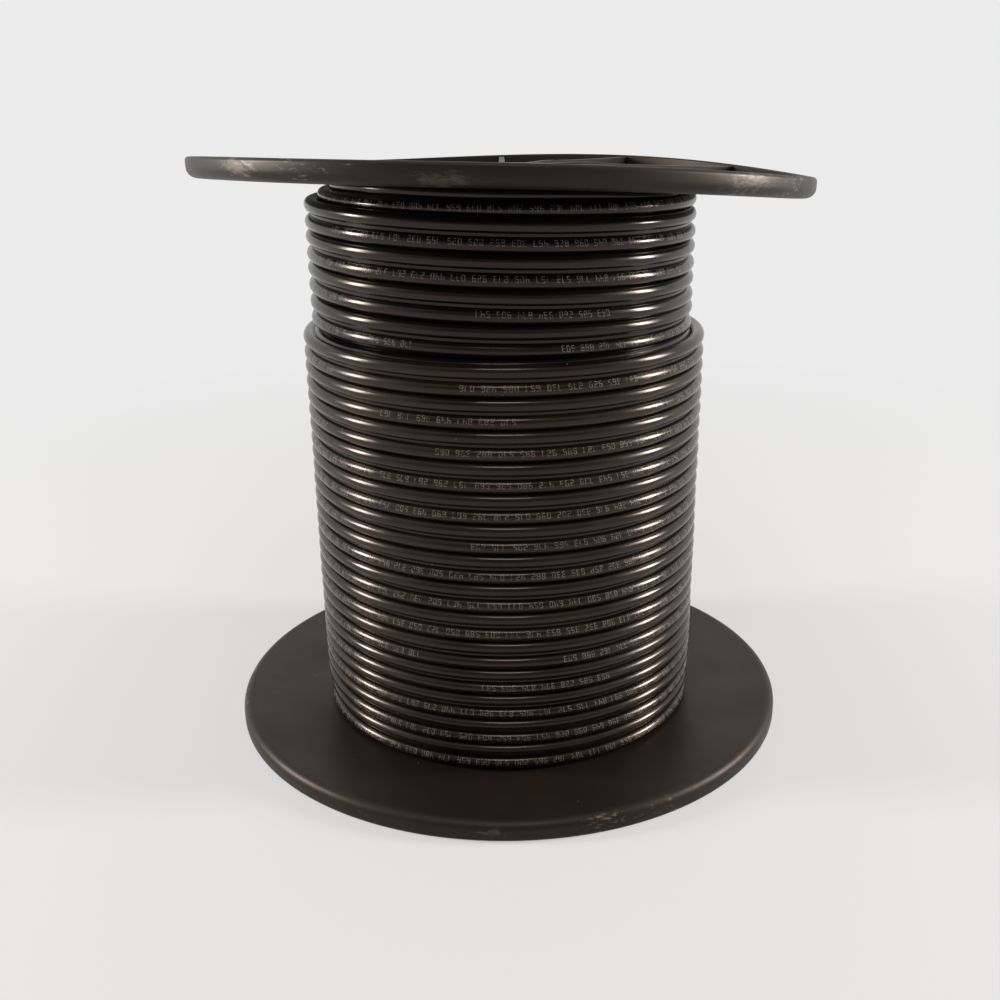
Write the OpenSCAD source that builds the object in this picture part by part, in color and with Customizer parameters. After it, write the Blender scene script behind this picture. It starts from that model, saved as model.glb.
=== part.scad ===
// Spool of coaxial cable: a black moulded reel standing on one flange, half used up,
// wound with twin-leg coaxial cable whose outermost layer stops at three quarters of the height.
// Millimetres. +Z is up along the reel's axis, -Y is the front, +X is the right.

/* [Reel] */
// Outside diameter of both flanges
flange_d = 300; // [270:1:330]
// Depth of a flange's rim, from its outer lip to its inner face
rim_depth = 10; // [8.5:0.5:13]
// Thickness of the rim's skirt
rim_wall = 4; // [3:0.5:6]
// Rounding of the rim's inner edge
rim_round = 5; // [3:0.5:6]
// Thickness of the flange's web
web = 3.5; // [2.5:0.5:4.5]
// How far the inner face sinks from the rim to the winding
dish = 3; // [1:0.5:4]
// Room between the inner faces of the flanges beside the barrel
traverse = 275; // [262:1:290]
// Outside diameter of the barrel
barrel_d = 100; // [84:1:120]
// Wall of the barrel
barrel_wall = 4; // [3:0.5:6]
// Diameter of the arbor hole through both hubs
arbor_d = 38; // [30:1:44]

/* [Ribs and hubs] */
// Radial ribs on the outer face of each flange
rib_count = 12; // [6:1:16]
// Thickness of a rib
rib_t = 3; // [2:0.5:4.5]
// How far the ribs and the hub lie below the rim's lip
rib_sink = 1; // [0.5:0.5:2]
// Wall of the hub around the arbor hole
hub_wall = 8; // [6:0.5:10]
// Height of the ring that centres the barrel
spigot_h = 8; // [4:0.5:12]

/* [Bent top flange] */
// Rise of the rim towards the side that is bent up
lift_rise = 8.2; // [0:0.2:10]
// Direction of that side, from +X towards +Y
lift_dir = 232.5; // [180:0.5:260]
// Rise of the saddle across the flange
saddle_rise = 2.8; // [0:0.2:4]
// Direction of the saddle's high line
saddle_dir = 69; // [30:0.2:120]
// Rise of the three-lobed ripple
ripple_rise = 1.2; // [0:0.1:2]
// Direction of the ripple's first lobe
ripple_dir = 64.2; // [30:0.2:90]
// How soon the bend begins beside the hub: 1 rises evenly, less rises sooner
bend_power = 0.7; // [0.6:0.05:1.2]

/* [Winding] */
// Diameter of one leg of the cable
cable_d = 6.9; // [6:0.1:7.6]
// Outside diameter over the outermost layer
winding_d = 204; // [190:1:216]
// Step in radius from one layer to the next
layer_step = 6.7; // [5.8:0.1:7.4]
// Turns of one leg in the outermost layer
outer_turns = 28; // [20:2:30]
// Height of the outermost layer
outer_height = 202; // [185:1:208]
// Turns of one leg shown above the outermost layer
upper_turns = 10; // [8:2:12]
// Tilt of the upper turns, which follow the bent flange
upper_tilt = 2.9; // [0.5:0.1:4]

/* [Hidden] */
$fn = 96;
flange_r = flange_d / 2;
base_in = rim_depth - dish;
top_in = base_in + traverse;
hub_r = arbor_d / 2 + hub_wall;
pad_r = barrel_d / 2;
pad = 0.5;
lip_edge = 1.5;
embed = 2;
over = 1;
fit = 0.3;
pad_t = web + 2 * pad;
flat_r = pad_r + embed / 2;
dish_r = winding_d / 2 + 2 * embed;
ring_steps = 72;
bend_steps = 3;
bend_rings = [for (k = [0:bend_steps - 1]) flat_r + (dish_r - flat_r) * pow(k / bend_steps, 2)];
outer_r = (winding_d - cable_d) / 2;
second_r = outer_r - layer_step;
third_r = second_r - layer_step;
bore_r = barrel_d / 2 + fit;
outer_pitch = outer_height / outer_turns;
outer_top = base_in + outer_height - 2 * fit;
recess_turns = 2;
spare_turns = 1;
core_sink = 3 * cable_d;

// Height of the inner face above the rim's inner plane, at radius r
function face_h(r) =
    dish * min(1, max(0, (flange_r - rim_round - r) / (flange_r - rim_round - dish_r)));

// Rise of the bent rim at angle a
function rim_rise(a) =
    lift_rise * cos(a - lift_dir)
    + saddle_rise * cos(2 * (a - saddle_dir))
    + ripple_rise * cos(3 * (a - ripple_dir));

// The bend grows from nothing at the hub to its full rise at the rim
function bend(r, a) = rim_rise(a) * pow(max(0, (r - flat_r) / (flange_r - flat_r)), bend_power);

// Section of a flange outside its hub: radius, and height above the rim's inner plane.
// Both faces of the web have extra points at the radii in rings.
function flange_section(rings) = concat(
    [for (r = concat([pad_r - embed], rings, [dish_r])) [r, dish]],
    [for (a = [-90:15:0]) [flange_r - rim_round + rim_round * cos(a), rim_round + rim_round * sin(a)]],
    [[flange_r, rim_depth - lip_edge], [flange_r - lip_edge, rim_depth], [flange_r - rim_wall, rim_depth]],
    [[flange_r - rim_wall - lip_edge, face_h(flange_r - rim_wall - lip_edge) + web], [dish_r, dish + web]],
    [for (k = [len(rings) - 1:-1:0]) [rings[k], dish + web]],
    [[pad_r - embed, dish + web]]
);

// Height of the upper turns' flat end, kept clear of the bent flange all round
top_reach = third_r + cable_d / 2 + embed;
upper_end = top_in - 2 * fit + min([
    for (a = [0:5:355], r = [third_r - cable_d / 2, top_reach])
        bend(r, a) - r * tan(upper_tilt) * cos(a - lift_dir)
]);
upper_height = upper_end - outer_top;
upper_pitch = upper_height / upper_turns;
pivot_z = outer_top + upper_height / 4;

// Solid ring with a bent section, closed all the way round
module bent_ring(section) {
    n = len(section);
    points = [
        for (i = [0:ring_steps - 1], p = section)
            let (a = 360 * i / ring_steps)
                [p[0] * cos(a), p[0] * sin(a), top_in - dish + p[1] + bend(p[0], a)]
    ];
    faces = [
        for (i = [0:ring_steps - 1], j = [0:n - 1])
            let (
                i2 = (i + 1) % ring_steps,
                j2 = (j + 1) % n,
                p = i * n + j,
                q = i * n + j2,
                r = i2 * n + j2,
                s = i2 * n + j
            )
                each [[p, q, r], [p, r, s]]
    ];
    polyhedron(points, faces);
}

// One rib of the bent flange, from the hub to the skirt
module bent_rib(a) {
    stations = concat([hub_r - embed], bend_rings, [dish_r, flange_r - rim_wall / 2]);
    low = web / 2;
    points = [
        for (r = stations, side = [-1, 1], h = [face_h(r) + low, rim_depth - rib_sink])
            [
                r * cos(a) - side * rib_t / 2 * sin(a),
                r * sin(a) + side * rib_t / 2 * cos(a),
                top_in - dish + h + bend(r, a)
            ]
    ];
    last = 4 * (len(stations) - 1);
    loop = [0, 1, 3, 2];
    faces = concat(
        [[0, 3, 1], [0, 2, 3]],
        [[last, last + 1, last + 3], [last, last + 3, last + 2]],
        [
            for (k = [0:len(stations) - 2], m = [0:3])
                let (
                    p = 4 * k + loop[m],
                    q = 4 * k + loop[(m + 1) % 4]
                )
                    each [[p, q, q + 4], [p, q + 4, p + 4]]
        ]
    );
    polyhedron(points, faces);
}

// Hub of a flange in its own frame: inner face at z = 0, outer side towards +Z
module hub() {
    translate([0, 0, -pad])
        cylinder(r = pad_r, h = pad + pad_t);
    cylinder(r = hub_r, h = rim_depth - dish - rib_sink);
    translate([0, 0, -pad - spigot_h])
        difference() {
            cylinder(r = barrel_d / 2 - barrel_wall - fit, h = spigot_h + embed);
            translate([0, 0, -over])
                cylinder(r = barrel_d / 2 - 2 * barrel_wall - fit, h = spigot_h + over);
        }
}

module arbor_hole() {
    translate([0, 0, -spigot_h - embed])
        cylinder(d = arbor_d, h = spigot_h + rim_depth + 2 * embed);
}

// Side of one rib of the flat flange, from the hub to the skirt
function rib_side() = [
    for (r = [hub_r - embed, dish_r, flange_r - rim_wall / 2]) [r, face_h(r) + web / 2],
    [flange_r - rim_wall / 2, rim_depth - rib_sink],
    [hub_r - embed, rim_depth - rib_sink]
];

// The flange the reel stands on: flat, with its lip on the floor
module bottom_flange() {
    color("#2b2826")
        translate([0, 0, rim_depth])
            mirror([0, 0, 1])
                difference() {
                    union() {
                        rotate_extrude()
                            polygon(flange_section([]));
                        translate([0, 0, dish])
                            hub();
                        for (i = [0:rib_count - 1])
                            rotate(360 * i / rib_count)
                                translate([0, rib_t / 2, 0])
                                    rotate([90, 0, 0])
                                        linear_extrude(rib_t)
                                            polygon(rib_side());
                    }
                    translate([0, 0, dish])
                        arbor_hole();
                }
}

// The tube between the flanges, hidden under the winding
module barrel() {
    color("#232120")
        translate([0, 0, base_in + pad])
            difference() {
                cylinder(d = barrel_d, h = traverse - 2 * pad);
                translate([0, 0, -over])
                    cylinder(d = barrel_d - 2 * barrel_wall, h = traverse + 2 * over);
            }
}

// Rounded backs of the turns of one layer
module turns(first, last, pitch, r) {
    for (k = [first:last])
        translate([r, (k + 0.5) * pitch])
            circle(d = cable_d);
}

// The cable left on the reel: one turned solid that shows its two outer layers
module cable_winding() {
    full_turns = upper_turns - recess_turns;
    color("#191817")
        difference() {
            union() {
                translate([0, 0, base_in])
                    rotate_extrude() {
                        translate([bore_r, 0])
                            square([outer_r - bore_r, outer_top - base_in]);
                        turns(0, outer_turns - 1, outer_pitch, outer_r);
                    }
                translate([0, 0, pivot_z])
                    rotate(a = upper_tilt, v = [sin(lift_dir), -cos(lift_dir), 0])
                        translate([0, 0, outer_top - pivot_z])
                            rotate_extrude() {
                                translate([bore_r / 2, -core_sink])
                                    square([second_r - bore_r / 2, core_sink + full_turns * upper_pitch]);
                                translate([bore_r / 2, 0])
                                    square([third_r - bore_r / 2, upper_height - upper_pitch / 2]);
                                turns(-spare_turns, full_turns - 1, upper_pitch, second_r);
                                turns(full_turns, upper_turns - 1, upper_pitch, third_r);
                            }
            }
            translate([0, 0, base_in - over])
                cylinder(r = bore_r, h = traverse + core_sink);
        }
}

// The other flange, bent: its hub is straight and its web and rim rise and fall round the reel
module top_flange() {
    color("#2b2826")
        difference() {
            union() {
                bent_ring(flange_section(bend_rings));
                for (i = [0:rib_count - 1])
                    bent_rib(360 * i / rib_count);
                translate([0, 0, top_in])
                    hub();
            }
            translate([0, 0, top_in])
                arbor_hole();
        }
}

bottom_flange();
barrel();
cable_winding();
top_flange();
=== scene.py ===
import bmesh
import bpy
import math
from mathutils import Matrix, Vector, noise


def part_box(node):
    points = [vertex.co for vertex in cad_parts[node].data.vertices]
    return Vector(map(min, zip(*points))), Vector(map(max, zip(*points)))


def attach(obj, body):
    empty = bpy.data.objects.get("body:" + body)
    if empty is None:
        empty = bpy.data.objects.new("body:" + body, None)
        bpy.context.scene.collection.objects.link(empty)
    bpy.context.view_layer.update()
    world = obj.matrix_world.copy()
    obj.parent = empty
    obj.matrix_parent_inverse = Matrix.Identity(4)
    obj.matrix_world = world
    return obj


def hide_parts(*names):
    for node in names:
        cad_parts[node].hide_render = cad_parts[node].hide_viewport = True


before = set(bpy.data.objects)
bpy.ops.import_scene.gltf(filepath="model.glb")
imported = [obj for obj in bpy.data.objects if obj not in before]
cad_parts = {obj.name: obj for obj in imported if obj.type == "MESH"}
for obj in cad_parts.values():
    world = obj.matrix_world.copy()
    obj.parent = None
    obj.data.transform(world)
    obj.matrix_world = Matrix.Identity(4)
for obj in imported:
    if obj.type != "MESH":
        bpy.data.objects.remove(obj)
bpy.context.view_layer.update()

# Lower flange
# One injection moulding in black polystyrene: a dished web, a deep rounded rim and a hub.
# Twelve ribs stiffen the side that faces the floor, and the reel stands on the lip of the rim.
MM = 0.001
FLANGE_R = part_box("bottom_flange")[1].x
RIM_DEPTH = 10 * MM
RIM_WALL = 4 * MM
RIM_ROUND = 5 * MM
WEB = 3.5 * MM
DISH = 3 * MM
DISH_R = 106 * MM
BARREL_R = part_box("barrel")[1].x
BARREL_WALL = 4 * MM
PAD = 0.5 * MM
FIT = 0.3 * MM
HUB_R = 27 * MM
HUB_STEP = 1 * MM
ARBOR_R = 19 * MM
SPIGOT_H = 8 * MM
RIB_COUNT = 12
RIB_T = 3 * MM
RIB_SINK = 1 * MM
RIB_EMBED = 2 * MM
RIB_CUTS = 12
RIB_TOP = RIM_DEPTH - RIB_SINK
TURN_STEPS = 192
CREASE_ANGLE = math.radians(40)


def linear(colour):
    """Linear red, green, blue and alpha of an sRGB hex colour."""
    parts = [int(colour[i:i + 2], 16) / 255 for i in (1, 3, 5)]
    return [c / 12.92 if c <= 0.04045 else ((c + 0.055) / 1.055) ** 2.4 for c in parts] + [1]


def add(tree, kind, sockets, **settings):
    """Adds a shader node; a socket takes a plain value or the output that feeds it."""
    node = tree.nodes.new("ShaderNode" + kind)
    for name, value in settings.items():
        setattr(node, name, value)
    for name, value in sockets.items():
        if isinstance(value, bpy.types.NodeSocket):
            tree.links.new(value, node.inputs[name])
        else:
            node.inputs[name].default_value = value
    return node


def new_material(name):
    """An empty material and its shader."""
    material = bpy.data.materials.new(name)
    material.use_nodes = True
    return material, material.node_tree, material.node_tree.nodes["Principled BSDF"]


# Black polystyrene from a satin mould: a soft warm sheen, faint cloudy smears from handling,
# pale scuffs where the rim has been rolled over floors, two pale rim patches that are worn and also painted
# highlight, and specks of dust.
def moulded_polystyrene():
    material, tree, shader = new_material("moulded_polystyrene")
    place = add(tree, "TexCoord", {}).outputs["Object"]
    across = add(tree, "SeparateXYZ", {0: place})
    flat = add(tree, "CombineXYZ", {"X": across.outputs["X"], "Y": across.outputs["Y"]}).outputs[0]
    radius = add(tree, "VectorMath", {0: flat}, operation="LENGTH").outputs["Value"]
    clouds = add(tree, "TexNoise", {"Vector": place, "Scale": 1 / (38 * MM), "Detail": 4, "Roughness": 0.6})
    smears = add(tree, "ValToRGB", {0: clouds.outputs["Fac"]})
    smears.color_ramp.elements[0].position = 0.35
    smears.color_ramp.elements[0].color = linear("#14110f")
    smears.color_ramp.elements[1].position = 0.72
    smears.color_ramp.elements[1].color = linear("#1e1916")
    rim = add(tree, "MapRange", {"Value": radius, "From Min": FLANGE_R - 3.5 * MM,
                                 "From Max": FLANGE_R - 0.5 * MM})
    flow = (1, 1, 3.2)
    drag = add(tree, "Mapping", {"Vector": place, "Scale": flow}).outputs[0]
    grit = add(tree, "TexNoise", {"Vector": drag, "Scale": 1 / (5 * MM), "Detail": 5, "Roughness": 0.72})
    patch = add(tree, "TexNoise", {"Vector": place, "Scale": 1 / (60 * MM), "Detail": 1})
    worn = add(tree, "Math", {0: grit.outputs["Fac"], 1: patch.outputs["Fac"]}, operation="MULTIPLY")
    scuff = add(tree, "MapRange", {"Value": worn.outputs[0], "From Min": 0.33, "From Max": 0.42})
    rim_scuffs_and_glints = add(tree, "Math", {0: scuff.outputs[0], 1: rim.outputs[0]}, operation="MULTIPLY").outputs[0]

    # Places worn by knocks, the first two also painted pale as a highlight of the side lamps: middle and
    # reach in mm, and how pale they are.
    knocks_and_glints = (
        ((-107, -105, 295), 22, 1.0),
        ((100, -112, 287), 28, 0.55),
        ((-22, -149, 291), 26, 0.25),
        ((-9, -149.7, 5), 16, 0.3),
    )
    for spot, reach, depth in knocks_and_glints:
        away = add(tree, "VectorMath", {0: drag, 1: [c * f * MM for c, f in zip(spot, flow)]},
                   operation="DISTANCE").outputs["Value"]
        near = add(tree, "MapRange", {"Value": away, "From Min": 0.2 * reach * MM, "From Max": reach * MM,
                                      "To Min": 0.22, "To Max": -0.1}).outputs[0]
        rough = add(tree, "Math", {0: near, 1: grit.outputs["Fac"]}, operation="ADD").outputs[0]
        knock_and_glint = add(tree, "MapRange", {"Value": rough, "From Min": 0.6, "From Max": 0.82, "To Max": depth})
        rim_scuffs_and_glints = add(tree, "Math", {0: rim_scuffs_and_glints, 1: knock_and_glint.outputs[0]}, operation="MAXIMUM").outputs[0]

    cells = add(tree, "TexVoronoi", {"Vector": place, "Scale": 1 / (11 * MM)})
    chance = add(tree, "SeparateColor", {0: cells.outputs["Color"]}).outputs[0]
    size = add(tree, "MapRange", {"Value": chance, "From Min": 0.5, "From Max": 1, "To Max": 0.05})
    speck = add(tree, "Math", {0: cells.outputs["Distance"], 1: size.outputs[0]}, operation="LESS_THAN")
    marks = add(tree, "Math", {0: rim_scuffs_and_glints, 1: speck.outputs[0]}, operation="MAXIMUM").outputs[0]
    show = add(tree, "Math", {0: marks, 1: 0.5}, operation="MULTIPLY").outputs[0]
    colour = add(tree, "Mix", {0: show, 6: smears.outputs[0], 7: linear("#a39a90")}, data_type="RGBA")
    tree.links.new(colour.outputs[2], shader.inputs["Base Color"])

    sheen = add(tree, "MapRange", {"Value": clouds.outputs["Fac"], "From Min": 0.3, "From Max": 0.7,
                                   "To Min": 0.5, "To Max": 0.4})
    polish = add(tree, "Math", {0: rim_scuffs_and_glints, 1: -0.2, 2: sheen.outputs[0]}, operation="MULTIPLY_ADD")
    tree.links.new(polish.outputs[0], shader.inputs["Roughness"])
    shader.inputs["IOR"].default_value = 1.59
    shader.inputs["Specular IOR Level"].default_value = 0.22
    shader.inputs["Specular Tint"].default_value = linear("#fff0e4")
    # The mould's satin grain, drawn coarser than it is so that it shows.
    grain = add(tree, "TexNoise", {"Vector": place, "Scale": 1 / (0.9 * MM), "Detail": 2})
    bump = add(tree, "Bump", {"Height": grain.outputs["Fac"], "Strength": 0.25, "Distance": 0.05 * MM})
    tree.links.new(bump.outputs[0], shader.inputs["Normal"])
    return material


polystyrene = moulded_polystyrene()


def face_height(r):
    """Height of the web's inner face above the rim's inner plane, at radius r."""
    inner_edge = FLANGE_R - RIM_ROUND
    return DISH * min(1, max(0, (inner_edge - r) / (inner_edge - DISH_R)))


def turned_flange(shallower=0):
    """The flange without its ribs, outer side up: the outline's corners are rounded, then it is spun.
    Its rim can be shallower on the inner side."""
    skirt_r = FLANGE_R - RIM_WALL
    spigot_r = BARREL_R - BARREL_WALL - FIT
    rim_corner = -DISH * RIM_ROUND / (FLANGE_R - RIM_ROUND - DISH_R)
    step_z = DISH + WEB + HUB_STEP
    # Radius, height and rounding in mm of each corner.
    corners = (
        (ARBOR_R, DISH - PAD, 0.5),
        (ARBOR_R, RIB_TOP, 0.8),
        (HUB_R, RIB_TOP, 0.5),
        (HUB_R, step_z, 0.5),
        (BARREL_R, step_z, 0.4),
        (BARREL_R, DISH + WEB, 0.4),
        (DISH_R, DISH + WEB, 8),
        (skirt_r - 0.8 * MM, face_height(skirt_r) + WEB, 2.0),
        (skirt_r, RIM_DEPTH, 0.7),
        (FLANGE_R, RIM_DEPTH, 1.8),
        (FLANGE_R, rim_corner + shallower, RIM_ROUND / MM),
        (DISH_R, DISH, 8),
        (BARREL_R, DISH, 0),
        (BARREL_R, DISH - PAD, 0.2),
        (spigot_r, DISH - PAD, 0),
        (spigot_r, DISH - PAD - SPIGOT_H, 0.6),
        (spigot_r - BARREL_WALL, DISH - PAD - SPIGOT_H, 0.6),
        (spigot_r - BARREL_WALL, DISH - PAD, 0.5),
    )
    bm = bmesh.new()
    outline = [bm.verts.new((r, 0, z)) for r, z, rounding in corners]
    bm.faces.new(outline)
    for vert, (r, z, rounding) in zip(outline, corners):
        if rounding:
            bmesh.ops.bevel(bm, geom=[vert], offset=rounding * MM, offset_type="OFFSET", affect="VERTICES",
                            segments=3 + round(rounding), profile=0.5, material=-1)
    bmesh.ops.delete(bm, geom=bm.faces[:], context="FACES_ONLY")
    bmesh.ops.spin(bm, geom=bm.verts[:] + bm.edges[:], cent=(0, 0, 0), axis=(0, 0, 1),
                   angle=math.tau, steps=TURN_STEPS, use_merge=True)
    bmesh.ops.recalc_face_normals(bm, faces=bm.faces[:])
    return bm


def flange_ribs():
    """The ribs, sunk into the web below them, the hub and the skirt."""
    bm = bmesh.new()
    start, end = HUB_R - RIB_EMBED, FLANGE_R - RIM_WALL / 2
    low = DISH + WEB / 2
    box = Matrix.Diagonal((end - start, RIB_T, RIB_TOP - low, 1))
    for k in range(RIB_COUNT):
        turn = Matrix.Rotation(math.tau * k / RIB_COUNT, 4, "Z")
        middle = Matrix.Translation(((start + end) / 2, 0, (RIB_TOP + low) / 2))
        bmesh.ops.create_cube(bm, size=1, matrix=turn @ middle @ box)
    along = [e for e in bm.edges if e.calc_length() > (end - start) / 2]
    bmesh.ops.subdivide_edges(bm, edges=along, cuts=RIB_CUTS, use_grid_fill=True)
    for vert in bm.verts:
        if vert.co.z < (RIB_TOP + low) / 2:
            vert.co.z = face_height(vert.co.xy.length) + WEB / 2
    return bm


def fused(body, ribs):
    """One closed shell from two meshes."""
    shells = []
    for name, bm in (("body", body), ("ribs", ribs)):
        mesh = bpy.data.meshes.new(name)
        bm.to_mesh(mesh)
        bm.free()
        shells.append(bpy.data.objects.new(name, mesh))
        bpy.context.scene.collection.objects.link(shells[-1])
    union = shells[0].modifiers.new("union", "BOOLEAN")
    union.operation = "UNION"
    union.solver = "EXACT"
    union.object = shells[1]
    joined = shells[0].evaluated_get(bpy.context.evaluated_depsgraph_get())
    whole = bpy.data.meshes.new_from_object(joined)
    bm = bmesh.new()
    bm.from_mesh(whole)
    for shell in shells:
        mesh = shell.data
        bpy.data.objects.remove(shell)
        bpy.data.meshes.remove(mesh)
    bpy.data.meshes.remove(whole)
    return bm


def show_piece(name, bm, materials, replaced=None):
    """Makes the mesh an object of the reel, with smooth faces and crisp edges."""
    mesh = bpy.data.meshes.new(name)
    bm.to_mesh(mesh)
    bm.free()
    for material in materials:
        mesh.materials.append(material)
    mesh.shade_smooth()
    mesh.set_sharp_from_angle(angle=CREASE_ANGLE)
    piece = bpy.data.objects.new(name, mesh)
    bpy.context.scene.collection.objects.link(piece)
    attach(piece, "root")
    if replaced:
        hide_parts(replaced)


lower = fused(turned_flange(), flange_ribs())
bmesh.ops.scale(lower, vec=(1, 1, -1), verts=lower.verts[:])
bmesh.ops.translate(lower, vec=(0, 0, RIM_DEPTH), verts=lower.verts[:])
bmesh.ops.reverse_faces(lower, faces=lower.faces[:])
show_piece("lower_flange", lower, [polystyrene], "bottom_flange")

# Barrel
# A plain moulded tube of the same polystyrene, pushed over the spigots of both flanges.
# The cable hides it, so it keeps the shape that it has in the frame.
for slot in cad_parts["barrel"].material_slots:
    slot.material = polystyrene

# Outer layer of cable
# Twin-leg coaxial cable: two round black PVC jackets joined by a thin web, extruded together.
# Fourteen turns climb from the lower flange and stop at three quarters of the height.
LEG_D = 6.8 * MM
LEG_GAP = 1.1 * MM
LEG_PITCH = LEG_D + LEG_GAP
LEG_SIDES = 24
STEPS_PER_TURN = 112
STRETCH = 0.5
STEP_START, STEP_END = 0.3, 0.7
WANDER = 0.25 * MM
LEAN, LEAN_FULL = 0.010, 120 * MM
TOP_LEAN, TOP_LEAN_START, TOP_LEAN_FULL = 0.027, 203 * MM, 225 * MM
OUTER_R = 98.55 * MM
LAYER_STEP = 6.7 * MM
PAIR_PITCH = 14.87 * MM
SNUG_PITCH = 13.85 * MM
SNUG_TURNS = 4
START_TURN, OUT_START, OUT_END = -0.5, -0.42, -0.15
OUTER_TURNS = 14
END_TURN = OUTER_TURNS - 0.55
BASE_Z = RIM_DEPTH - DISH
BASE_GAP = 0.6 * MM
FRONT = -math.pi / 2


# Semi-gloss black PVC off the extruder: deep black with a soft streak along each turn, dull where
# it has rubbed, dusty specks in places, and pale inkjet length marks in plain numbers on one leg.
def jacket_pvc(name, dark, pale):
    material, tree, shader = new_material(name)
    place = add(tree, "TexCoord", {}).outputs["Object"]
    run = add(tree, "UVMap", {}, uv_map="run").outputs[0]
    leg = add(tree, "Attribute", {}, attribute_name="printed").outputs["Fac"]
    split = add(tree, "SeparateXYZ", {0: run})
    along, around = split.outputs["X"], split.outputs["Y"]

    # Plain numbers, three digits and a blank, drawn as seven strokes each and standing on their heads.
    digit_pitch, digit_height, lift = 2.35 * MM, 2.9 * MM, 1.25 * MM
    group, groups_in_run, runs_shown = 4, 7, 0.8
    column = add(tree, "Math", {0: along, 1: -digit_pitch}, operation="DIVIDE").outputs[0]
    cell = add(tree, "Math", {0: column}, operation="FLOOR").outputs[0]
    across = add(tree, "Math", {0: column}, operation="FRACT").outputs[0]
    up = add(tree, "MapRange", {"Value": around, "From Min": lift + digit_height / 2,
                                "From Max": lift - digit_height / 2}, clamp=False).outputs[0]
    digit = add(tree, "TexWhiteNoise", {"W": cell}, noise_dimensions="1D").outputs["Value"]
    # Middle and half size of each stroke, and which digits from 0 to 9 have it.
    strokes = (
        (0.45, 0.95, 0.27, 0.06, "1011011111"),
        (0.72, 0.73, 0.08, 0.25, "1111100111"),
        (0.72, 0.27, 0.08, 0.25, "1101111111"),
        (0.45, 0.05, 0.27, 0.06, "1011011011"),
        (0.18, 0.27, 0.08, 0.25, "1010001010"),
        (0.18, 0.73, 0.08, 0.25, "1000111011"),
        (0.45, 0.50, 0.27, 0.06, "0011111011"),
    )
    ink = 0
    for x, y, half_width, half_height, digits in strokes:
        lit = add(tree, "ValToRGB", {0: digit})
        lit.color_ramp.interpolation = "CONSTANT"
        stops = lit.color_ramp.elements
        for k, on in enumerate(digits):
            stop = stops[k] if k < 2 else stops.new(k / 10)
            stop.position = k / 10
            stop.color = (int(on),) * 3 + (1,)
        dx = add(tree, "Math", {0: across, 1: x, 2: half_width}, operation="COMPARE").outputs[0]
        dy = add(tree, "Math", {0: up, 1: y, 2: half_height}, operation="COMPARE").outputs[0]
        bar = add(tree, "Math", {0: dx, 1: dy}, operation="MULTIPLY").outputs[0]
        stroke = add(tree, "Math", {0: bar, 1: lit.outputs[0]}, operation="MULTIPLY").outputs[0]
        ink = add(tree, "Math", {0: ink, 1: stroke}, operation="MAXIMUM").outputs[0]
    place_in_group = add(tree, "Math", {0: cell, 1: group}, operation="FLOORED_MODULO").outputs[0]
    filled = add(tree, "Math", {0: place_in_group, 1: group - 1.5}, operation="LESS_THAN").outputs[0]
    run_of_groups = add(tree, "Math", {0: cell, 1: groups_in_run * group}, operation="DIVIDE").outputs[0]
    run_number = add(tree, "Math", {0: run_of_groups}, operation="FLOOR").outputs[0]
    run_chance = add(tree, "TexWhiteNoise", {"W": run_number}, noise_dimensions="1D").outputs["Value"]
    shown = add(tree, "Math", {0: run_chance, 1: runs_shown}, operation="LESS_THAN").outputs[0]
    wear = add(tree, "TexNoise", {"Vector": place, "Scale": 1 / (1.6 * MM), "Detail": 3, "Roughness": 0.7})
    kept = add(tree, "MapRange", {"Value": wear.outputs["Fac"], "From Min": 0.36, "From Max": 0.56})
    for mask in (filled, shown, leg, kept.outputs[0]):
        ink = add(tree, "Math", {0: ink, 1: mask}, operation="MULTIPLY").outputs[0]

    haze = add(tree, "TexNoise", {"Vector": place, "Scale": 1 / (26 * MM), "Detail": 4, "Roughness": 0.65})
    jacket = add(tree, "ValToRGB", {0: haze.outputs["Fac"]})
    jacket.color_ramp.elements[0].position = 0.35
    jacket.color_ramp.elements[0].color = linear(dark)
    jacket.color_ramp.elements[1].position = 0.75
    jacket.color_ramp.elements[1].color = linear(pale)
    cells = add(tree, "TexVoronoi", {"Vector": place, "Scale": 1 / (7 * MM)})
    chance = add(tree, "SeparateColor", {0: cells.outputs["Color"]}).outputs[0]
    size = add(tree, "MapRange", {"Value": chance, "From Min": 0.6, "From Max": 1, "To Max": 0.05})
    dust = add(tree, "Math", {0: cells.outputs["Distance"], 1: size.outputs[0]}, operation="LESS_THAN")
    specks = add(tree, "Math", {0: dust.outputs[0], 1: 0.35}, operation="MULTIPLY").outputs[0]
    dusty = add(tree, "Mix", {0: specks, 6: jacket.outputs[0], 7: linear("#b9b3aa")}, data_type="RGBA")
    strength = add(tree, "Math", {0: ink, 1: 0.75}, operation="MULTIPLY").outputs[0]
    colour = add(tree, "Mix", {0: strength, 6: dusty.outputs[2], 7: linear("#77726c")}, data_type="RGBA")
    tree.links.new(colour.outputs[2], shader.inputs["Base Color"])

    rubbed = add(tree, "MapRange", {"Value": haze.outputs["Fac"], "From Min": 0.3, "From Max": 0.7,
                                    "To Min": 0.15, "To Max": 0.26})
    tree.links.new(rubbed.outputs[0], shader.inputs["Roughness"])
    shader.inputs["IOR"].default_value = 1.53
    shader.inputs["Specular IOR Level"].default_value = 0.35
    shader.inputs["Specular Tint"].default_value = linear("#ffe9da")
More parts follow.
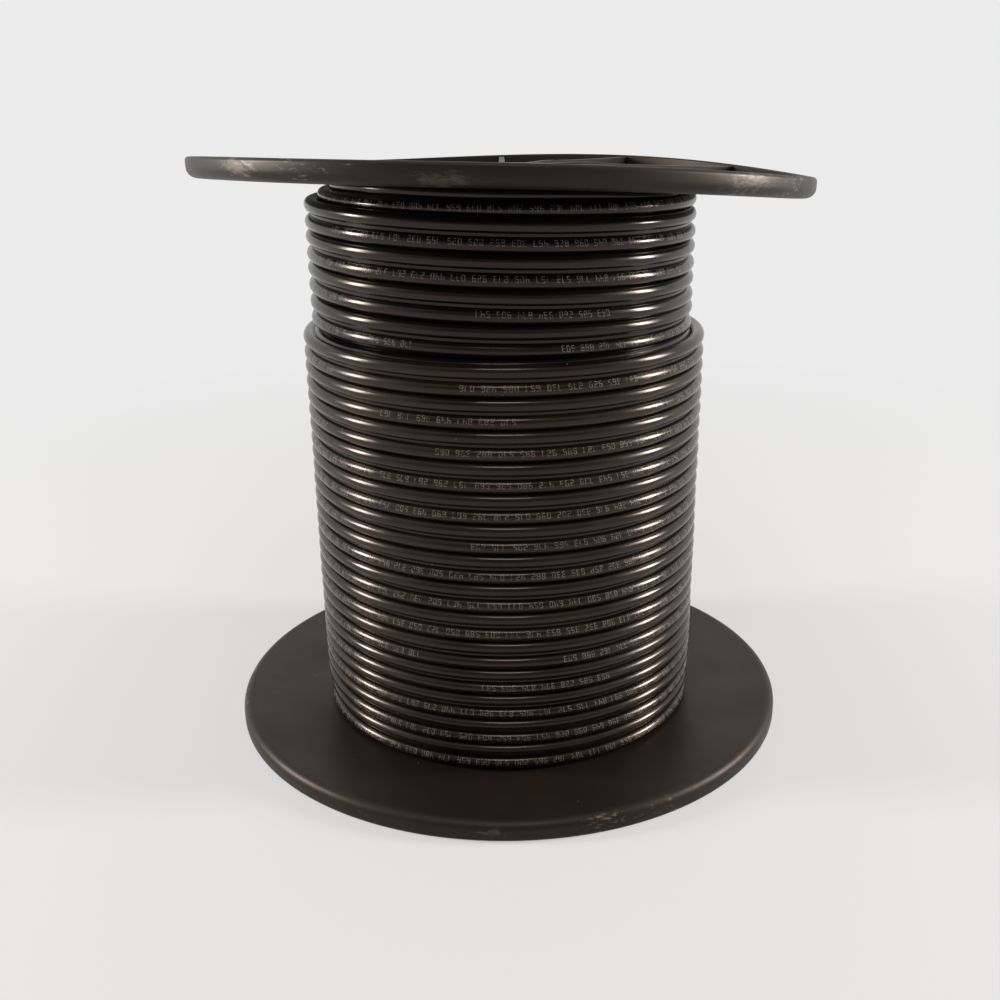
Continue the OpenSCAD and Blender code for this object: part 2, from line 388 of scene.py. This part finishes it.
    # Fine lines drawn along the jacket by the die, coarser than they are so that they show.
    drawn_out = add(tree, "Math", {0: along, 1: 0.04}, operation="MULTIPLY").outputs[0]
    lines = add(tree, "CombineXYZ", {"X": drawn_out, "Y": around})
    drawn = add(tree, "TexNoise", {"Vector": lines.outputs[0], "Scale": 1 / (0.7 * MM), "Detail": 2})
    bump = add(tree, "Bump", {"Height": drawn.outputs["Fac"], "Strength": 0.3, "Distance": 0.03 * MM})
    tree.links.new(bump.outputs[0], shader.inputs["Normal"])
    return material


outer_pvc = jacket_pvc("outer_pvc", "#0f0c0a", "#1d1813")


def smooth(start, end, value):
    """Rises from 0 to 1 between start and end, gently at both."""
    x = min(1, max(0, (value - start) / (end - start)))
    return x * x * (3 - 2 * x)


def turn_index(s):
    """How many pitches the cable has climbed after s turns: each step lies at the back of the reel."""
    return math.floor(s) + smooth(STEP_START, STEP_END, s - math.floor(s))


def wander(s, row):
    """How far a turn strays from its place, as winding at speed leaves it."""
    return WANDER * noise.noise((4 * s, row, 0.7))


def lean(height):
    """Sideways slope of the turns: level at the lower flange, tipped with the bent flange at the top."""
    return -LEAN * smooth(0, LEAN_FULL, height) - TOP_LEAN * smooth(TOP_LEAN_START, TOP_LEAN_FULL, height)


def cable_section(bm, radius):
    """Outline of the twin cable at the given radius: the printed leg's axis is at z = 0,
    with the plain leg above it and a web between them."""
    legs = []
    for z in (0, LEG_PITCH):
        stand = Matrix.Translation((radius, 0, z)) @ Matrix.Rotation(math.pi / 2, 4, "X")
        turn = Matrix.Rotation(math.pi / LEG_SIDES, 4, "Z")
        leg = bmesh.ops.create_circle(bm, segments=LEG_SIDES, radius=LEG_D / 2, matrix=stand @ turn)
        legs.append(leg["verts"])
    facing = [sorted(legs[0], key=lambda v: -v.co.z)[:2], sorted(legs[1], key=lambda v: v.co.z)[:2]]
    for pair in facing:
        bm.edges.remove(bm.edges.get(pair))
        pair.sort(key=lambda v: v.co.x)
    for a, b in zip(*facing):
        bm.edges.new((a, b))


def laid_stretch(first, last, lay):
    """A short stretch of cable from turn first to turn last, spun and then moved to where it lies."""
    bm = bmesh.new()
    cable_section(bm, OUTER_R)
    ring = len(bm.verts)
    steps = math.ceil((last - first) * STEPS_PER_TURN)
    bmesh.ops.spin(bm, geom=bm.verts[:] + bm.edges[:], cent=(0, 0, 0), axis=(0, 0, 1),
                   angle=math.tau * (last - first), steps=steps)
    printed = bm.verts.layers.float.new("printed")
    run = bm.loops.layers.uv.new("run")
    spot = {}
    bm.verts.index_update()
    for vert in bm.verts:
        s = first + (last - first) * (vert.index // ring) / steps
        radius, height, roll, squeeze = lay(s)
        a, b = vert.co.xy.length - OUTER_R, vert.co.z * squeeze
        vert[printed] = 0 if vert.co.z > LEG_PITCH / 2 else 1
        a, b = a * math.cos(roll) - b * math.sin(roll), a * math.sin(roll) + b * math.cos(roll)
        spot[vert] = (math.tau * OUTER_R * s, math.atan2(b, a) * LEG_D / 2)
        angle = FRONT + math.tau * s
        vert.co = ((radius + a) * math.cos(angle), (radius + a) * math.sin(angle), 0)
        vert.co.z = height + b + lean(height) * vert.co.x
    for face in bm.faces:
        for loop in face.loops:
            loop[run].uv = spot[loop.vert]
    return bm


def wound_cable(name, jacket, first, last, lay, replaced=None):
    """Cable from turn first to turn last; lay gives the printed leg's radius and height,
    how far the pair is rolled inwards, and how far it is squeezed, at each point."""
    whole = bmesh.new()
    for k in range(math.ceil((last - first) / STRETCH)):
        start = first + STRETCH * k
        stretch = laid_stretch(start, min(last, start + STRETCH), lay)
        mesh = bpy.data.meshes.new("stretch")
        stretch.to_mesh(mesh)
        stretch.free()
        whole.from_mesh(mesh)
        bpy.data.meshes.remove(mesh)
    bmesh.ops.remove_doubles(whole, verts=whole.verts[:], dist=0.01 * MM)
    bmesh.ops.holes_fill(whole, edges=[e for e in whole.edges if e.is_boundary])
    bmesh.ops.recalc_face_normals(whole, faces=whole.faces[:])
    show_piece(name, whole, [jacket], replaced)


def outer_lay(s):
    """The outer layer comes out of the second one at the back and lies tighter in its lowest turns."""
    climb = max(0, turn_index(s))
    height = BASE_Z + BASE_GAP + LEG_D / 2
    height += SNUG_PITCH * min(climb, SNUG_TURNS) + PAIR_PITCH * max(0, climb - SNUG_TURNS)
    stray = wander(s, 0.3)
    radius = OUTER_R - LAYER_STEP * (1 - smooth(OUT_START, OUT_END, s)) + stray
    snug = 1 - smooth(SNUG_TURNS - 1, SNUG_TURNS, climb)
    return radius, height + 0.6 * stray, 0, 1 - snug * (1 - SNUG_PITCH / PAIR_PITCH)


wound_cable("outer_layer", outer_pvc, START_TURN, END_TURN, outer_lay, "cable_winding")

# Free end of the cable
# The outer layer ends at the back in a square cut, so each leg shows what lies under its jacket:
# a thin bright braid, pale foam and a copper core that stands out a little.
def cut_material(name, colour, metallic, roughness):
    """A material of one colour, for a face too small to show a pattern."""
    material, tree, shader = new_material(name)
    shader.inputs["Base Color"].default_value = linear(colour)
    shader.inputs["Metallic"].default_value = metallic
    shader.inputs["Roughness"].default_value = roughness
    return material


# Fine bare wires: a dull silver ring.
braid = cut_material("aluminium_braid", "#a9abac", 1, 0.45)
# Foamed insulation: milky white and matt, the palest spot on the reel.
foam = cut_material("foam_polyethylene", "#d9d6cd", 0, 0.7)
# A freshly cut wire: a small warm glint in the middle.
copper = cut_material("copper", "#b87350", 1, 0.3)

# Diameter of each layer, and how far it stands out of the cut.
CUT_LAYERS = ((5.4 * MM, 0.05 * MM, braid), (4.6 * MM, 0.15 * MM, foam), (1 * MM, 0.6 * MM, copper))
CUT_SUNK = 1 * MM
cut = bmesh.new()
radius, height = outer_lay(END_TURN)[:2]
angle = FRONT + math.tau * END_TURN
onward = Vector((-math.sin(angle), math.cos(angle), 0))
turn = onward.to_track_quat("Z", "X").to_matrix().to_4x4()
for leg in (0, LEG_PITCH):
    middle = Vector((radius * math.cos(angle), radius * math.sin(angle), height + leg))
    middle.z += lean(height) * middle.x
    for k, (width, out, material) in enumerate(CUT_LAYERS):
        stand = Matrix.Translation(middle + onward * (out - CUT_SUNK) / 2)
        made = bmesh.ops.create_cone(cut, cap_ends=True, segments=LEG_SIDES, radius1=width / 2,
                                     radius2=width / 2, depth=out + CUT_SUNK, matrix=stand @ turn)["verts"]
        for face in {f for vert in made for f in vert.link_faces}:
            face.material_index = k
show_piece("cut_end", cut, [material for width, out, material in CUT_LAYERS])

# Second layer of cable
# The same cable, wound the other way along the reel, shows its top turns above the outer layer.
# Its top pair comes out from one layer further in on the left, and leans inwards under the bent flange.
SECOND_R = OUTER_R - LAYER_STEP + 1 * MM
SECOND_SHIFT = 1 * MM
SECOND_PITCH = 15.1 * MM
SECOND_TOP = 261.5 * MM
SECOND_START, SECOND_END = -0.6, 5.5
BACK_DROP = 1 * MM
TUCK_DROP = 2.8 * MM
TUCK_TURNS = 0.2
TOP_SQUEEZE = 0.1
ROLL, LESS_AT_FRONT, LESS_AT_LEFT, LESS_BETWEEN = 86, 50, 26, 112


def second_lay(s):
    """The top pair is tucked in at the start, and rolled by as much as the flange above it asks."""
    around = math.tau * s
    climb = max(0, turn_index(s)) - 1
    tuck = 1 - smooth(-TUCK_TURNS, TUCK_TURNS, s)
    stray = wander(s, 5.3)
    height = SECOND_TOP - SECOND_PITCH * climb - BACK_DROP * (0.5 - 0.5 * math.cos(around)) - TUCK_DROP * tuck
    radius = SECOND_R - LAYER_STEP * tuck - SECOND_SHIFT * math.sin(around) + stray
    top = 1 - smooth(STEP_START, STEP_END, s)
    front, left = max(0, math.cos(around)), max(0, -math.sin(around))
    upright = LESS_AT_FRONT * front ** 2 + LESS_AT_LEFT * left ** 4 + LESS_BETWEEN * (front * left) ** 2
    squeeze = SECOND_PITCH / PAIR_PITCH * (1 - TOP_SQUEEZE * top)
    return radius, height + 0.6 * stray, math.radians(ROLL - upright) * top, squeeze


# The same jacket in darker, bluer colours: painted shade for the turns under the upper flange and the layers
# inside.
shaded_pvc = jacket_pvc("shaded_pvc", "#09090a", "#111011")
wound_cable("second_layer", shaded_pvc, SECOND_START, SECOND_END, second_lay)

# Inner layers of cable
# More of the same cable, wound tight on the barrel. Only its upper edge can be glimpsed under the flange,
# so one turned shape stands for all of it.
CORE_TOP = 268 * MM
CORE_R = SECOND_R - SECOND_SHIFT - LEG_D / 2
HOLLOW_R = BARREL_R + FIT
core = bmesh.new()
corners = (
    (HOLLOW_R, BASE_Z),
    (HOLLOW_R, CORE_TOP),
    (CORE_R - LEG_D, CORE_TOP),
    (CORE_R, CORE_TOP - LEG_D),
    (CORE_R, BASE_Z),
)
outline = [core.verts.new((r, 0, z)) for r, z in corners]
core.faces.new(outline)
bmesh.ops.bevel(core, geom=outline[2:4], offset=LEG_D / 3, offset_type="OFFSET", affect="VERTICES",
                segments=4, profile=0.5, material=-1)
bmesh.ops.delete(core, geom=core.faces[:], context="FACES_ONLY")
bmesh.ops.spin(core, geom=core.verts[:] + core.edges[:], cent=(0, 0, 0), axis=(0, 0, 1),
               angle=math.tau, steps=TURN_STEPS, use_merge=True)
for vert in core.verts:
    if vert.co.z > CORE_TOP / 2:
        vert.co.z += lean(vert.co.z) * vert.co.x
bmesh.ops.recalc_face_normals(core, faces=core.faces[:])
show_piece("inner_layers", core, [shaded_pvc])

# Upper flange
# The same moulding the other way up, taken out of true by heat or a fall: it is tipped up towards
# the front left, with a saddle and a slight ripple round its rim.
TRAVERSE = 275 * MM
TOP_IN = BASE_Z + TRAVERSE
UPPER_SHALLOWER = 0.7 * MM
FLAT_R = BARREL_R + 1 * MM
BEND_POWER = 0.7
# Rise, number of lobes and direction in degrees.
BENDS = ((0.6 * MM, 0, 0), (8.2 * MM, 1, 232.5), (2.8 * MM, 2, 69), (1.2 * MM, 3, 64.2))


def bend(r, angle):
    """How far the bent flange rises at a radius and an angle round the reel."""
    rise = sum(size * math.cos(lobes * (angle - math.radians(aim))) for size, lobes, aim in BENDS)
    return rise * max(0, (r - FLAT_R) / (FLANGE_R - FLAT_R)) ** BEND_POWER


upper = fused(turned_flange(UPPER_SHALLOWER), flange_ribs())
for vert in upper.verts:
    vert.co.z += TOP_IN - DISH + bend(vert.co.xy.length, math.atan2(vert.co.y, vert.co.x))
show_piece("upper_flange", upper, [polystyrene], "top_flange")

# Studio
# A pale floor that runs into a pale room, a small lamp on each side that draws the streaks on the turns,
# and one on the ceiling in front. The camera looks down a little at the front of the reel.
scene = bpy.context.scene
scene.view_settings.view_transform = "Standard"
PALE = linear("#ececec")


def seen_rays(tree):
    """Rays that the camera sees, straight or by a glossy or clear surface."""
    path = add(tree, "LightPath", {})
    seen = path.outputs["Is Camera Ray"]
    for kind in ("Is Glossy Ray", "Is Transmission Ray"):
        seen = add(tree, "Math", {0: seen, 1: path.outputs[kind]}, operation="MAXIMUM").outputs[0]
    return seen


world = bpy.data.worlds.new("pale_room")
world.use_nodes = True
scene.world = world
air = world.node_tree
seen = seen_rays(air)
straight = add(air, "LightPath", {}).outputs["Is Camera Ray"]
dim = add(air, "Background", {"Color": linear("#fff6ec"), "Strength": 0.35}).outputs[0]
# The turns mirror a darker room in front of the reel than behind it.
facing = add(air, "SeparateXYZ", {0: add(air, "NewGeometry", {}).outputs["Incoming"]}).outputs["Y"]
shade = add(air, "MapRange", {"Value": facing, "From Max": 0.8, "To Min": 1, "To Max": 0.27}).outputs[0]
strength = add(air, "Math", {0: shade, 1: straight}, operation="MAXIMUM").outputs[0]
bright = add(air, "Background", {"Color": PALE, "Strength": strength}).outputs[0]
room = add(air, "MixShader", {0: seen, 1: dim, 2: bright}).outputs[0]
air.links.new(room, air.nodes["World Output"].inputs["Surface"])

FLOOR_SIZE = 12
FLOOR_GAP = 0.05 * MM
ground = bmesh.new()
bmesh.ops.create_grid(ground, x_segments=1, y_segments=1, size=FLOOR_SIZE)
bmesh.ops.translate(ground, vec=(0, 0, -FLOOR_GAP), verts=ground.verts[:])
ground_mesh = bpy.data.meshes.new("floor")
ground.to_mesh(ground_mesh)
ground.free()
floor = bpy.data.objects.new("floor", ground_mesh)
scene.collection.objects.link(floor)
# Matt paper that keeps the reel's shadow close to it and fades into the room further out.
paper, tree, shader = new_material("pale_paper")
shader.inputs["Base Color"].default_value = linear("#d0d2d6")
shader.inputs["Roughness"].default_value = 0.9
seen = seen_rays(tree)
spot = add(tree, "TexCoord", {}).outputs["Object"]
away = add(tree, "VectorMath", {0: spot}, operation="LENGTH").outputs["Value"]
share = add(tree, "MapRange", {"Value": away, "From Min": 0.2, "From Max": 0.9, "To Min": 0.55, "To Max": 1})
glow = add(tree, "Math", {0: seen, 1: share.outputs[0]}, operation="MULTIPLY").outputs[0]
light = add(tree, "Emission", {"Color": PALE, "Strength": 1}).outputs[0]
mixed = add(tree, "MixShader", {0: glow, 1: shader.outputs[0], 2: light}).outputs[0]
tree.links.new(mixed, tree.nodes["Material Output"].inputs["Surface"])
ground_mesh.materials.append(paper)

# Place and size in metres, watts and colour.
LAMPS = (
    ("left_lamp", (-1.3, -0.02, 0.52), 0.26, 0.5, 18, "#fff8f0"),
    ("right_lamp", (1.3, -0.02, 0.52), 0.26, 0.5, 20, "#fff8f0"),
    ("ceiling_lamp", (0, -1.25, 1.95), 0.8, 0.3, 8, "#fffaf6"),
)
LAMP_AIM = Vector((0, 0, 0.16))
for name, place, width, height, power, colour in LAMPS:
    lamp = bpy.data.lights.new(name, "AREA")
    lamp.shape = "RECTANGLE"
    lamp.size = width
    lamp.size_y = height
    lamp.energy = power
    lamp.color = linear(colour)[:3]
    stand = bpy.data.objects.new(name, lamp)
    stand.location = place
    stand.rotation_euler = (LAMP_AIM - Vector(place)).to_track_quat("-Z", "Y").to_euler()
    scene.collection.objects.link(stand)

CAMERA_PLACE = (0, -0.5904, 0.3227)
CAMERA_DOWN = math.radians(21.589)
CAMERA_TURN, CAMERA_ROLL = 0.0061, -0.0149
camera = bpy.data.cameras.new("camera")
camera.sensor_width = 36
camera.lens = 41.284
camera.shift_y = 0.0432
viewer = bpy.data.objects.new("camera", camera)
turned = Matrix.Rotation(CAMERA_TURN, 4, "Z") @ Matrix.Rotation(math.pi / 2 - CAMERA_DOWN, 4, "X")
viewer.matrix_world = Matrix.Translation(CAMERA_PLACE) @ turned @ Matrix.Rotation(CAMERA_ROLL, 4, "Z")
scene.collection.objects.link(viewer)
scene.camera = viewer
